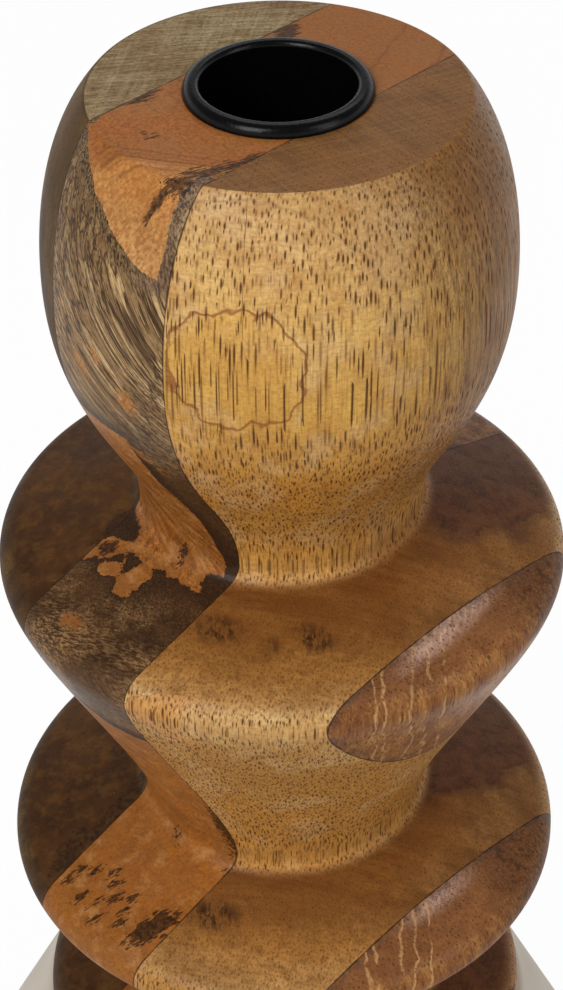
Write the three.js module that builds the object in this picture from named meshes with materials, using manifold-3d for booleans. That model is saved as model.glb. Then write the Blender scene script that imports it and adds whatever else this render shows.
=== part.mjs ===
// A turned candlestick: a stem of glued boards on a painted conical foot, with a steel candle cup in its
// top. Millimetres, +Z up. The origin is under the middle of the felt pad, on the surface that the
// candlestick stands on.
// The boards are stacked along +X, so every glue joint is a plane of constant x.
import * as THREE from "three";
import { mergeVertices, toCreasedNormals } from "three/addons/utils/BufferGeometryUtils.js";
import Module from "manifold-3d";

// Stem, upwards from the foot: lowest ring, hollow, middle disc, hollow, upper disc, bulb
const ringRadius = 45.2;
const ringHeight = 8.6; // shoulder on the foot up to the ring's upper corner
const ringNose = 5;
const ringLowerRound = 2.5;
const lowerNeckRadius = 30;
const lowerHollowHeight = 39.2; // neck corner on the ring up to the middle disc's corner
const middleDiscRadius = 48.7;
const middleNeckRadius = 25;
const upperHollowHeight = 56.7;
const upperDiscRadius = 46.6;
const upperNeckRadius = 23.2;
const discNose = 4.5;
const discSlope = THREE.MathUtils.degToRad(17.5); // fall of the discs' upper faces, from level
const neckFillet = 3;
const bulbHeight = 72.7; // neck corner on the upper disc up to the top face
const bulbRadius = 36;
const bulbWidestDrop = 29; // top face down to the widest place
const topFaceRadius = 28;
const topEdgeRound = 0.8;
const topEdgeFall = THREE.MathUtils.degToRad(50.5); // how steeply the bulb leaves the top edge

// Curves of the stem: how far each one keeps the direction of its end, as a share of its height
const shoulderEase = { upper: 0.27, lower: 0.44 };
const bulbEase = { upper: 0.54, lower: 0.32 };
const upperHollowEase = { upper: 0.115, lower: 0.19 };
const lowerHollowEase = { upper: 0.065, lower: 0.31 };

// Glue joints between the boards
const backJointX = -13;
const heartBoardThickness = 24;
const bulbToEdgeJoint = 1.3; // the fourth board starts this far outside the bulb

// Foot and the tenon that joins it to the stem
const footHeight = 62;
const footBaseRadius = 75.6;
const footTopRadius = 46.5;
const footBaseRound = 1;
const footTopRound = 1.6;
const tenonRadius = 16;
const tenonLength = 22;
const tenonBevel = 1;
const glueRoom = 1; // space left at the blind end of a glued hole
const slip = 0.3; // clearance between a part and the hole that takes it

// Bolt, washer and nut that pull the foot to the stem
const boltRadius = 3;
const boltGrip = 32; // length glued into the stem
const boltPoint = 4;
const boltTail = 2; // what stands out of the nut
const boltEndBevel = 0.6;
const nutAcrossFlats = 10;
const nutHeight = 5;
const nutChamfer = THREE.MathUtils.degToRad(30);
const washerRadius = 9;
const washerThickness = 1.6;
const recessRadius = 13;
const recessDepth = 14;

// Felt pad
const feltThickness = 1.2;
const feltInset = 2;

// Candle cup
const cupInnerRadius = 11.3; // takes a 22 mm candle
const cupWall = 0.8;
const cupDepth = 30; // top face down to the underside of the cup
const cupFloorRound = 2.4;
const lipRadius = 13.9;
const lipHeight = 1.75;
const lipEdgeHeight = 0.35;
const lipInnerRound = 0.95;

// Facets
const facetsAroundWood = 48;
const facetsAroundSteel = 36;
const facetsOnRound = 3;
const facetsOnNose = 4;
const facetsOnHollow = 7;
const facetsOnBulb = 8;
const weldDistance = 1e-4;
const creaseAngle = THREE.MathUtils.degToRad(32);

const wasm = await Module();
wasm.setup();

const at = (radius, height) => new THREE.Vector2(radius, height);

// The arc that replaces a corner between two straight sides.
function rounded(before, corner, after, radius, steps = facetsOnRound) {
  const back = before.clone().sub(corner).normalize();
  const ahead = after.clone().sub(corner).normalize();
  const halfAngle = Math.acos(back.dot(ahead)) / 2;
  const reach = radius / Math.tan(halfAngle);
  const inward = back.clone().add(ahead).normalize();
  const centre = corner.clone().addScaledVector(inward, radius / Math.sin(halfAngle));
  const start = corner.clone().addScaledVector(back, reach).sub(centre);
  const end = corner.clone().addScaledVector(ahead, reach).sub(centre);
  const turn = Math.atan2(start.cross(end), start.dot(end));
  const points = [];
  for (let i = 0; i <= steps; i++) {
    points.push(start.clone().rotateAround(at(0, 0), (turn * i) / steps).add(centre));
  }
  return points;
}

// A smooth curve between two points that leaves and arrives in given directions.
function eased(from, fromDirection, fromLength, to, toDirection, toLength, steps) {
  const leave = from.clone().addScaledVector(fromDirection, fromLength);
  const arrive = to.clone().addScaledVector(toDirection, -toLength);
  const points = new THREE.CubicBezierCurve(from, leave, arrive, to).getPoints(steps);
  return points.slice(1, -1);
}

// A solid turned round Z from a profile that runs upwards on its outer side.
function turned(profile, facets = facetsAroundWood) {
  const geometry = new THREE.LatheGeometry(profile, facets);
  geometry.rotateX(Math.PI / 2);
  return solidOf(geometry);
}

// A closed three.js geometry as a manifold solid: its shared corners are merged, and the flat triangles
// on the axis are left out.
function solidOf(geometry) {
  const bare = new THREE.BufferGeometry();
  bare.setAttribute("position", geometry.getAttribute("position"));
  bare.setIndex(geometry.getIndex());
  const welded = mergeVertices(bare, weldDistance);
  const corners = welded.getIndex().array;
  const triangles = [];
  for (let i = 0; i < corners.length; i += 3) {
    const [a, b, c] = [corners[i], corners[i + 1], corners[i + 2]];
    if (a !== b && b !== c && c !== a) triangles.push(a, b, c);
  }
  const mesh = new wasm.Mesh({
    numProp: 3,
    vertProperties: new Float32Array(welded.getAttribute("position").array),
    triVerts: new Uint32Array(triangles),
  });
  return new wasm.Manifold(mesh);
}

// A manifold solid back as a three.js geometry, with hard edges at its creases.
function geometryOf(solid) {
  const mesh = solid.getMesh();
  const geometry = new THREE.BufferGeometry();
  geometry.setAttribute("position", new THREE.BufferAttribute(mesh.vertProperties, 3));
  geometry.setIndex(new THREE.BufferAttribute(mesh.triVerts, 1));
  return toCreasedNormals(geometry, creaseAngle);
}

// A straight hole or rod on the axis, between two heights.
function rod(radius, low, high, facets = facetsAroundSteel) {
  return turned([at(0, low), at(radius, low), at(radius, high), at(0, high)], facets);
}

// Everything between two planes of constant x and two heights, out to the stem's full width.
function slab(lowX, highX, lowZ, highZ) {
  const reach = 2 * footBaseRadius;
  const box = new THREE.BoxGeometry(highX - lowX, reach, highZ - lowZ);
  box.translate((lowX + highX) / 2, 0, (lowZ + highZ) / 2);
  return solidOf(box);
}

// Heights that several pieces share
const shoulderZ = feltThickness + footHeight;
const tenonEndZ = shoulderZ - tenonLength;
const rise = (outer, inner) => (outer - inner) * Math.tan(discSlope);
const ringCornerZ = shoulderZ + ringHeight;
const lowerNeckZ = ringCornerZ + rise(ringRadius, lowerNeckRadius);
const middleCornerZ = lowerNeckZ + lowerHollowHeight;
const middleNeckZ = middleCornerZ + rise(middleDiscRadius, middleNeckRadius);
const upperCornerZ = middleNeckZ + upperHollowHeight;
const upperNeckZ = upperCornerZ + rise(upperDiscRadius, upperNeckRadius);
const topZ = upperNeckZ + bulbHeight;
const mortiseFloorZ = tenonEndZ - glueRoom;
const recessCeilingZ = feltThickness + recessDepth;
const cupOuterRadius = cupInnerRadius + cupWall;
const edgeJointX = bulbRadius + bulbToEdgeJoint;
const frontJointX = backJointX + heartBoardThickness;

// One disc of the stem, from its widest corner up its sloping face to the fillet against the neck above.
function discFace(discRadius, cornerZ, nose, neckRadius, neckZ, belowZ, aboveZ) {
  const corner = at(discRadius, cornerZ);
  const neck = at(neckRadius, neckZ);
  return [
    ...rounded(at(discRadius, belowZ), corner, neck, nose, facetsOnNose),
    ...rounded(corner, neck, at(neckRadius, aboveZ), neckFillet),
  ];
}

// A hollow between the fillet below it and the underside of the disc above it.
function hollow(below, discRadius, cornerZ, nose, ease) {
  const noseReach = nose * Math.tan((Math.PI / 2 - discSlope) / 2);
  const underside = at(discRadius, cornerZ - noseReach);
  const height = underside.y - below.y;
  const up = at(0, 1);
  return eased(below, up, ease.lower * height, underside, up, ease.upper * height, facetsOnHollow);
}

// The outline of the stem, from the end of the tenon up to the middle of the top face.
function stemProfile() {
  const tenonCorner = at(tenonRadius, tenonEndZ);
  const shoulder = at(ringRadius, shoulderZ);
  const ringFace = discFace(
    ringRadius, ringCornerZ, ringNose, lowerNeckRadius, lowerNeckZ, shoulderZ, middleCornerZ,
  );
  const middleFace = discFace(
    middleDiscRadius, middleCornerZ, discNose, middleNeckRadius, middleNeckZ, lowerNeckZ, upperCornerZ,
  );
  const upperFace = discFace(
    upperDiscRadius, upperCornerZ, discNose, upperNeckRadius, upperNeckZ, middleNeckZ, topZ,
  );
  const widest = at(bulbRadius, topZ - bulbWidestDrop);
  const neckTop = upperFace.at(-1);
  const lowerBulbHeight = widest.y - neckTop.y;
  const topFall = at(-Math.cos(topEdgeFall), Math.sin(topEdgeFall));
  const topCorner = at(topFaceRadius, topZ);
  const topEdge = rounded(topCorner.clone().sub(topFall), topCorner, at(0, topZ), topEdgeRound);
  const up = at(0, 1);
  return [
    at(0, tenonEndZ),
    tenonCorner.clone().setX(tenonRadius - tenonBevel),
    tenonCorner.clone().setY(tenonEndZ + tenonBevel),
    at(tenonRadius, shoulderZ),
    ...rounded(at(tenonRadius, shoulderZ), shoulder, at(ringRadius, ringCornerZ), ringLowerRound),
    ...ringFace,
    ...hollow(ringFace.at(-1), middleDiscRadius, middleCornerZ, discNose, lowerHollowEase),
    ...middleFace,
    ...hollow(middleFace.at(-1), upperDiscRadius, upperCornerZ, discNose, upperHollowEase),
    ...upperFace,
    ...eased(
      neckTop, up, bulbEase.lower * lowerBulbHeight,
      widest, up, bulbEase.upper * lowerBulbHeight, facetsOnBulb,
    ),
    widest,
    ...eased(
      widest, up, shoulderEase.lower * bulbWidestDrop,
      topEdge[0], topFall, shoulderEase.upper * bulbWidestDrop, facetsOnBulb,
    ),
    ...topEdge,
    at(0, topZ),
  ];
}

// The whole turned stem, bored for the cup and for the bolt.
function stem() {
  const cupBore = rod(cupOuterRadius + slip, topZ - cupDepth - glueRoom, topZ + lipHeight);
  const boltBore = rod(boltRadius + slip, tenonEndZ - glueRoom, tenonEndZ + boltGrip + glueRoom);
  return turned(stemProfile()).subtract(cupBore).subtract(boltBore);
}

function foot() {
  const baseCorner = at(footBaseRadius, feltThickness);
  const topCorner = at(footTopRadius, shoulderZ);
  const cone = turned([
    at(0, feltThickness),
    ...rounded(at(0, feltThickness), baseCorner, topCorner, footBaseRound),
    ...rounded(baseCorner, topCorner, at(0, shoulderZ), footTopRound),
    at(0, shoulderZ),
  ]);
  const mortise = rod(tenonRadius + slip, mortiseFloorZ, shoulderZ + glueRoom);
  const boltHole = rod(boltRadius + slip, feltThickness, mortiseFloorZ + glueRoom);
  const recess = rod(recessRadius, feltThickness - glueRoom, recessCeilingZ);
  return cone.subtract(mortise).subtract(boltHole).subtract(recess);
}

// The bolt's upper end is a point in the wood, and its lower end takes the nut.
function hangerBolt() {
  const lowZ = recessCeilingZ - washerThickness - nutHeight - boltTail;
  const highZ = tenonEndZ + boltGrip;
  const profile = [
    at(0, lowZ),
    at(boltRadius - boltEndBevel, lowZ),
    at(boltRadius, lowZ + boltEndBevel),
    at(boltRadius, highZ - boltPoint),
    at(0, highZ),
  ];
  return turned(profile, facetsAroundSteel);
}

function washer() {
  const lowZ = recessCeilingZ - washerThickness;
  const inner = boltRadius + slip;
  const corners = [
    at(inner, lowZ), at(washerRadius, lowZ), at(washerRadius, recessCeilingZ), at(inner, recessCeilingZ),
  ];
  return turned([...corners, corners[0]], facetsAroundSteel);
}

// A hexagon cut by two flat cones, which bevel its corners above and below.
function nut() {
  const highZ = recessCeilingZ - washerThickness;
  const lowZ = highZ - nutHeight;
  const cornerRadius = nutAcrossFlats / Math.sqrt(3);
  const hexagon = new THREE.CylinderGeometry(cornerRadius, cornerRadius, nutHeight, 6);
  hexagon.rotateX(Math.PI / 2);
  hexagon.translate(0, 0, (lowZ + highZ) / 2);
  const faceRadius = nutAcrossFlats / 2;
  const coneRadius = 2 * cornerRadius;
  const bevel = (coneRadius - faceRadius) * Math.tan(nutChamfer);
  const cones = turned(
    [at(0, lowZ), at(faceRadius, lowZ), at(coneRadius, lowZ + bevel),
      at(coneRadius, highZ - bevel), at(faceRadius, highZ), at(0, highZ)],
    facetsAroundSteel,
  );
  return solidOf(hexagon).intersect(cones).subtract(rod(boltRadius + slip, lowZ - slip, highZ + slip));
}

function feltPad() {
  return rod(footBaseRadius - feltInset, 0, feltThickness, facetsAroundWood);
}

// A pressed cup: a tube with a rounded floor, turned out at the top into a domed lip that lies on the
// wood.
function candleCup() {
  const lowZ = topZ - cupDepth;
  const crestZ = topZ + lipHeight;
  const crestRadius = cupInnerRadius + lipInnerRound;
  const outerCorner = at(cupOuterRadius, lowZ);
  const innerCorner = at(cupInnerRadius, lowZ + cupWall);
  const innerEdge = at(cupInnerRadius, crestZ);
  const lipDome = new THREE.QuadraticBezierCurve(
    at(lipRadius, topZ + lipEdgeHeight), at(lipRadius - lipEdgeHeight, crestZ), at(crestRadius, crestZ),
  );
  return turned(
    [
      at(0, lowZ),
      ...rounded(at(0, lowZ), outerCorner, at(cupOuterRadius, topZ), cupFloorRound),
      at(cupOuterRadius, topZ),
      at(lipRadius, topZ),
      ...lipDome.getPoints(facetsOnNose),
      ...rounded(at(crestRadius, crestZ), innerEdge, innerCorner, lipInnerRound).slice(1),
      ...rounded(innerEdge, innerCorner, at(0, lowZ + cupWall), cupFloorRound - cupWall),
      at(0, lowZ + cupWall),
    ],
    facetsAroundSteel,
  );
}

const finishes = {
  backWood: { color: 0x6e5231, roughness: 0.45 },
  heartWood: { color: 0xa8682f, roughness: 0.45 },
  frontWood: { color: 0xb5813c, roughness: 0.42 },
  edgeWood: { color: 0x7d4a24, roughness: 0.45 },
  footPaint: { color: 0xd9d0c2, roughness: 0.7 },
  blackSteel: { color: 0x121214, roughness: 0.38, metalness: 0.2 },
  zincSteel: { color: 0xa9adb0, roughness: 0.4, metalness: 0.9 },
  felt: { color: 0x2b2b2c, roughness: 0.95 },
};
const materials = Object.fromEntries(
  Object.entries(finishes).map(([name, finish]) => [name, new THREE.MeshStandardMaterial(finish)]),
);

const candlestick = new THREE.Group();

function add(name, solid, material) {
  const mesh = new THREE.Mesh(geometryOf(solid), material);
  mesh.name = name;
  candlestick.add(mesh);
}

// The stem falls apart into its boards at the glue joints. The necks and the bulb stop short of the fourth
// board, so turning left it only as a separate block on each disc.
const wholeStem = stem();
const outside = 2 * footBaseRadius;
const aboveRing = lowerNeckZ + neckFillet;
const aboveMiddleDisc = middleNeckZ + neckFillet;
const board = (lowX, highX, lowZ = 0, highZ = topZ + outside) =>
  wholeStem.intersect(slab(lowX, highX, lowZ, highZ));

add("board_back", board(-outside, backJointX), materials.backWood);
add("board_heart", board(backJointX, frontJointX), materials.heartWood);
add("board_front", board(frontJointX, edgeJointX), materials.frontWood);
add("edge_block_lower", board(edgeJointX, outside, 0, aboveRing), materials.edgeWood);
add("edge_block_middle", board(edgeJointX, outside, aboveRing, aboveMiddleDisc), materials.edgeWood);
add("edge_block_upper", board(edgeJointX, outside, aboveMiddleDisc), materials.edgeWood);
add("painted_foot", foot(), materials.footPaint);
add("hanger_bolt", hangerBolt(), materials.zincSteel);
add("washer", washer(), materials.zincSteel);
add("nut", nut(), materials.zincSteel);
add("felt_pad", feltPad(), materials.felt);
add("candle_cup", candleCup(), materials.blackSteel);

export default candlestick;
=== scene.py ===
# %% [markdown]
# # A turned candlestick of glued boards
# The real object is a stack of four hardwood boards, glued face to face and turned on a lathe, on a cone
# painted off-white, with a pressed steel cup for the candle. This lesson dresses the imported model: it keeps
# every place and size of the frame, and gives each piece its fine surface and its finish.

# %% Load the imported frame
import math

import bmesh
import bpy
from mathutils import Matrix, Vector
from mathutils.geometry import interpolate_bezier


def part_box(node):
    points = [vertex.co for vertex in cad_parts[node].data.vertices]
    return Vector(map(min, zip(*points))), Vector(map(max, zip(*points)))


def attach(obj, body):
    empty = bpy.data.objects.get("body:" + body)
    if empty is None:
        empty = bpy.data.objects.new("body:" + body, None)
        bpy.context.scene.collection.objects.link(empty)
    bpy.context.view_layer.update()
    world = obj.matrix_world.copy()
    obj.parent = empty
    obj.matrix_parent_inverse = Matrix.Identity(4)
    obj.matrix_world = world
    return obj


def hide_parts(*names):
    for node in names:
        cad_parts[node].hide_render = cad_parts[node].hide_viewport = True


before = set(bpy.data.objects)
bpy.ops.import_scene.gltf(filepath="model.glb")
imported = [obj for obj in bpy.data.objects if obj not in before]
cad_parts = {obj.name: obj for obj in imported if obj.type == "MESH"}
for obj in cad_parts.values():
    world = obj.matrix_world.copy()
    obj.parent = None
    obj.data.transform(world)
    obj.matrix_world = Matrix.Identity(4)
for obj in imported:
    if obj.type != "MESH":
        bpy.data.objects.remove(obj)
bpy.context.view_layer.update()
print("nodes:", ", ".join(sorted(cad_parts)))

# %% [markdown]
# ## Sizes of the turning
# A turner works from a list of diameters and heights. The frame already holds the same list as faceted
# solids, so the values here only repeat it, in millimetres, and the outline is drawn again with more steps.
# Heights start from the shoulder where the stem sits on the foot, and that height comes from the frame.

# %% Sizes of the stem, the foot, the pad and the cup
MM = 0.001
STEM_STEPS = 256
CUP_STEPS = 128

FELT_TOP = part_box("felt_pad")[1].z / MM
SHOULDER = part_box("painted_foot")[1].z / MM
DISCS = (
    {"hollow": 8.6, "radius": 45.2, "nose": 5, "neck": 30},
    {"hollow": 39.2, "radius": 48.7, "nose": 4.5, "neck": 25, "ease": (0.31, 0.065)},
    {"hollow": 56.7, "radius": 46.6, "nose": 4.5, "neck": 23.2, "ease": (0.19, 0.115)},
)
RING_LOWER_ROUND = 2.5
DISC_SLOPE = math.radians(17.5)
NECK_FILLET = 3
BULB_HEIGHT = 72.7
BULB_RADIUS = 36
BULB_WIDEST_DROP = 29
TOP_FACE_RADIUS = 28
TOP_EDGE_ROUND = 0.8
TOP_EDGE_FALL = math.radians(50.5)
TENON_RADIUS = 16
TENON_LENGTH = 22
TENON_CHAMFER = 1
BOLT_HOLE_RADIUS = 3.3
BOLT_HOLE_DEPTH = 33
CUP_HOLE_RADIUS = 12.4
CUP_HOLE_DEPTH = 31
JOINTS = {"back": -13, "front": 11, "edge": 37.3}

# %% [markdown]
# ## Drawing an outline
# A lathe-turned outline is straight faces, arcs and long easy curves. Arcs are swung between two sides of a
# corner, and the long curves are Bezier curves that leave each end in a set direction. Blender computes the
# Bezier points itself, which keeps the curve smooth at any number of steps. How far each end of a long curve
# keeps its direction is written as a share of the curve's height.

# %% Outline helpers
UNDER_BULB_EASE = (0.32, 0.54)
OVER_BULB_EASE = (0.44, 0.27)
UP = Vector((0, 1))


def at(radius, height):
    return Vector((radius, height))


def rounded(before, corner, after, radius, steps):
    """The arc that replaces a corner between two straight sides."""
    back = (before - corner).normalized()
    ahead = (after - corner).normalized()
    half_angle = back.angle(ahead) / 2
    reach = radius / math.tan(half_angle)
    centre = corner + (back + ahead).normalized() * radius / math.sin(half_angle)
    start = corner + back * reach - centre
    end = corner + ahead * reach - centre
    turn = start.angle(end)
    points = []
    for step in range(steps + 1):
        share = step / steps
        swung = start * math.sin((1 - share) * turn) + end * math.sin(share * turn)
        points.append(centre + swung / math.sin(turn))
    return points


def eased(start, leaving, end, arriving, steps):
    """A long curve between two points; leaving and arriving say how it meets them."""
    points = interpolate_bezier(start, start + leaving, end - arriving, end, steps)
    return [at(point[0], point[1]) for point in points[1:-1]]


# %% The stem's outline, from the tenon up to the rim and down into the cup's hole
height = SHOULDER
for disc in DISCS:
    disc["corner"] = height + disc["hollow"]
    height = disc["corner"] + (disc["radius"] - disc["neck"]) * math.tan(DISC_SLOPE)
    disc["top"] = height
top_face = height + BULB_HEIGHT
tenon_end = SHOULDER - TENON_LENGTH


def disc_face(disc):
    """The nose of a disc, its sloping upper face and the fillet against the neck."""
    corner = at(disc["radius"], disc["corner"])
    neck = at(disc["neck"], disc["top"])
    nose = rounded(corner - UP, corner, neck, disc["nose"], steps=16)
    face = [nose[-1].lerp(neck, share) for share in (0.2, 0.4, 0.6, 0.8)]
    return nose + face + rounded(corner, neck, neck + UP, NECK_FILLET, steps=10)


def hollow(start, disc):
    """The long hollow between a neck and the underside of the disc above it."""
    nose_reach = disc["nose"] * math.tan((math.pi / 2 - DISC_SLOPE) / 2)
    end = at(disc["radius"], disc["corner"] - nose_reach)
    leaving, arriving = (UP * ease * (end.y - start.y) for ease in disc["ease"])
    return eased(start, leaving, end, arriving, steps=64)


def stem_outline():
    ring = DISCS[0]
    edge = at(ring["radius"], SHOULDER)
    points = rounded(edge - at(1, 0), edge, edge + UP, RING_LOWER_ROUND, steps=8)
    for disc in DISCS:
        if disc is not ring:
            points += hollow(points[-1], disc)
        points += disc_face(disc)
    widest = at(BULB_RADIUS, top_face - BULB_WIDEST_DROP)
    leaving, arriving = (UP * ease * (widest.y - points[-1].y) for ease in UNDER_BULB_EASE)
    fall = at(-math.cos(TOP_EDGE_FALL), math.sin(TOP_EDGE_FALL))
    rim = at(TOP_FACE_RADIUS, top_face)
    top_edge = rounded(rim - fall, rim, at(0, top_face), TOP_EDGE_ROUND, steps=6)
    rising = UP * OVER_BULB_EASE[0] * BULB_WIDEST_DROP
    falling = fall * OVER_BULB_EASE[1] * BULB_WIDEST_DROP
    return [
        at(0, tenon_end + BOLT_HOLE_DEPTH),
        at(BOLT_HOLE_RADIUS, tenon_end + BOLT_HOLE_DEPTH),
        at(BOLT_HOLE_RADIUS, tenon_end),
        at(TENON_RADIUS - TENON_CHAMFER, tenon_end),
        at(TENON_RADIUS, tenon_end + TENON_CHAMFER),
        at(TENON_RADIUS, SHOULDER),
        *points,
        *eased(points[-1], leaving, widest, arriving, steps=64),
        widest,
        *eased(widest, rising, top_edge[0], falling, steps=40),
        *top_edge,
        at((TOP_FACE_RADIUS + CUP_HOLE_RADIUS) / 2, top_face),
        at(CUP_HOLE_RADIUS, top_face),
        at(CUP_HOLE_RADIUS, top_face - CUP_HOLE_DEPTH),
        at(0, top_face - CUP_HOLE_DEPTH),
    ]


# %% [markdown]
# ## Turning and sawing
# Screw modifiers and spins can turn an outline too, but plain rings of vertices leave a clean closed mesh
# whose poles are single points. The boards come from the whole turned stem, cut along the glue joints with
# a bisect, so that their faces meet exactly as planed boards do.

# %% Turn a closed outline into a mesh


def turned(outline, steps, closed=False):
    """A closed mesh, in metres, from an outline of (radius, height) in millimetres.

    An open outline starts and ends on the axis. A closed one goes round a hole, as a washer's does."""
    made = bmesh.new()
    rings = []
    for radius, height in outline:
        ring = []
        for step in range(steps if radius else 1):
            angle = 2 * math.pi * step / steps
            spot = (radius * MM * math.cos(angle), radius * MM * math.sin(angle), height * MM)
            ring.append(made.verts.new(spot))
        rings.append(ring)
    pairs = list(zip(rings, rings[1:] + rings[:1]))
    if not closed:
        pairs.pop()
    for lower, upper in pairs:
        for step in range(steps):
            corners = [lower[step % len(lower)], lower[(step + 1) % len(lower)],
                       upper[(step + 1) % len(upper)], upper[step % len(upper)]]
            made.faces.new(list(dict.fromkeys(corners)))
    bmesh.ops.recalc_face_normals(made, faces=made.faces[:])
    return made


def cut_away(made, axis, place, keep_above):
    """Saws a mesh at a plane across an axis, keeps one side and closes the cut."""
    normal, point = Vector((0, 0, 0)), Vector((0, 0, 0))
    normal[axis] = -1 if keep_above else 1
    point[axis] = place * MM
    everything = made.verts[:] + made.edges[:] + made.faces[:]
    cut = bmesh.ops.bisect_plane(made, geom=everything, plane_co=point, plane_no=normal, clear_outer=True)
    rim = [item for item in cut["geom_cut"] if isinstance(item, bmesh.types.BMEdge)]
    if rim:
        bmesh.ops.holes_fill(made, edges=rim)


def finished(made, name, crease=32):
    """The object of a mesh, smooth where its faces flow and sharp at its real edges."""
    mesh = bpy.data.meshes.new(name)
    made.to_mesh(mesh)
    made.free()
    mesh.shade_smooth()
    mesh.set_sharp_from_angle(angle=math.radians(crease))
    piece = bpy.data.objects.new(name, mesh)
    bpy.context.scene.collection.objects.link(piece)
    print(f"{name}: {len(mesh.polygons)} faces")
    return piece


# %% [markdown]
# ## The boards
# Every board is the stem between two glue joints. The fourth board only reached the three discs, so it is
# left as three blocks, cut apart again at the necks, where the saw meets no wood.

# %% Saw the stem into its boards
FAR = 200
HIGH = 400
ABOVE_RING = DISCS[0]["top"] + NECK_FILLET
ABOVE_MIDDLE = DISCS[1]["top"] + NECK_FILLET
BOARDS = {
    "board_back": (-FAR, JOINTS["back"], 0, HIGH),
    "board_heart": (JOINTS["back"], JOINTS["front"], 0, HIGH),
    "board_front": (JOINTS["front"], JOINTS["edge"], 0, HIGH),
    "edge_block_lower": (JOINTS["edge"], FAR, 0, ABOVE_RING),
    "edge_block_middle": (JOINTS["edge"], FAR, ABOVE_RING, ABOVE_MIDDLE),
    "edge_block_upper": (JOINTS["edge"], FAR, ABOVE_MIDDLE, HIGH),
}


def sawn(node, low_x, high_x, low_z, high_z):
    made = turned(stem_outline(), STEM_STEPS)
    for axis, low, high in ((0, low_x, high_x), (2, low_z, high_z)):
        cut_away(made, axis, low, keep_above=True)
        cut_away(made, axis, high, keep_above=False)
    piece = finished(made, "turned_" + node)
    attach(piece, "stand")
    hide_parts(node)
    return piece


boards = {node: sawn(node, *limits) for node, limits in BOARDS.items()}

# %% [markdown]
# ## The foot, the felt and the cup
# The foot is a plain turned cone with a socket for the tenon and a recess for the nut, so its outline goes
# round the bolt hole and closes on itself. The felt is a cut disc whose edge has frayed a little. The cup is
# one sheet of steel pressed to a tube, and its lip lies on the wood.

# %% Turn the foot
FOOT_BASE = 75.6
FOOT_TOP = 46.5
BASE_ROUND = 1
TOP_ROUND = 1.6
SIDE_STEPS = 24
SOCKET_RADIUS = 16.3
SOCKET_FLOOR = tenon_end - 1
RECESS_RADIUS = 13
RECESS_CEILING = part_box("washer")[1].z / MM


def foot_outline():
    base = at(FOOT_BASE, FELT_TOP)
    top = at(FOOT_TOP, SHOULDER)
    base_round = rounded(at(0, FELT_TOP), base, top, BASE_ROUND, steps=6)
    top_round = rounded(base, top, at(0, SHOULDER), TOP_ROUND, steps=8)
    side = [base_round[-1].lerp(top_round[0], step / SIDE_STEPS) for step in range(1, SIDE_STEPS)]
    return [
        at(RECESS_RADIUS, FELT_TOP), *base_round, *side, *top_round,
        at(SOCKET_RADIUS, SHOULDER), at(SOCKET_RADIUS, SOCKET_FLOOR),
        at(BOLT_HOLE_RADIUS, SOCKET_FLOOR), at(BOLT_HOLE_RADIUS, RECESS_CEILING),
        at(RECESS_RADIUS, RECESS_CEILING),
    ]


foot = finished(turned(foot_outline(), STEM_STEPS, closed=True), "turned_foot")
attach(foot, "stand")
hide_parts("painted_foot")

# %% Cut the felt
FELT_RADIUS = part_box("felt_pad")[1].x / MM
FELT_EDGE_ROUND = 0.35
FELT_HAIR = 0.18
FRAYED_FROM = 0.9
FRAY_WAVES = ((0.3, 7, 0), (0.2, 31, 60))


def felt_outline():
    low_edge, high_edge = at(FELT_RADIUS, 0), at(FELT_RADIUS, FELT_TOP)
    lower = rounded(at(0, 0), low_edge, high_edge, FELT_EDGE_ROUND, steps=3)
    upper = rounded(low_edge, high_edge, at(0, FELT_TOP), FELT_EDGE_ROUND, steps=3)
    rows = [at(FELT_RADIUS * share, 0) for share in (0.25, 0.5, 0.75, 0.92)]
    back = [at(FELT_RADIUS * share, FELT_TOP) for share in (0.92, 0.5)]
    return [at(0, 0), *rows, *lower, *upper, *back, at(0, FELT_TOP)]


def fray(made):
    """Pulls the edge in and out a little, as scissors and hairs leave it."""
    for vertex in made.verts:
        radius = vertex.co.xy.length / MM
        if radius < FRAYED_FROM * FELT_RADIUS:
            continue
        angle = math.atan2(vertex.co.y, vertex.co.x)
        height = vertex.co.z / MM
        waves = [size * math.sin(count * angle + climb * height) for size, count, climb in FRAY_WAVES]
        pull = sum(waves, 0.5)
        vertex.co.xy *= 1 - pull * FELT_HAIR / radius


felt_mesh = turned(felt_outline(), STEM_STEPS)
fray(felt_mesh)
felt = finished(felt_mesh, "cut_felt")
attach(felt, "stand")
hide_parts("felt_pad")

# %% Press the cup
CUP_INNER = 11.3
CUP_WALL = 0.8
CUP_DEPTH = 30
CUP_FLOOR_ROUND = 2.4
LIP_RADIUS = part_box("candle_cup")[1].x / MM
LIP_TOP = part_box("candle_cup")[1].z / MM
LIP_EDGE = 0.35
LIP_CHAMFER = 0.12
LIP_INNER_ROUND = 0.95
DOME_POINTS = 17


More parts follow.
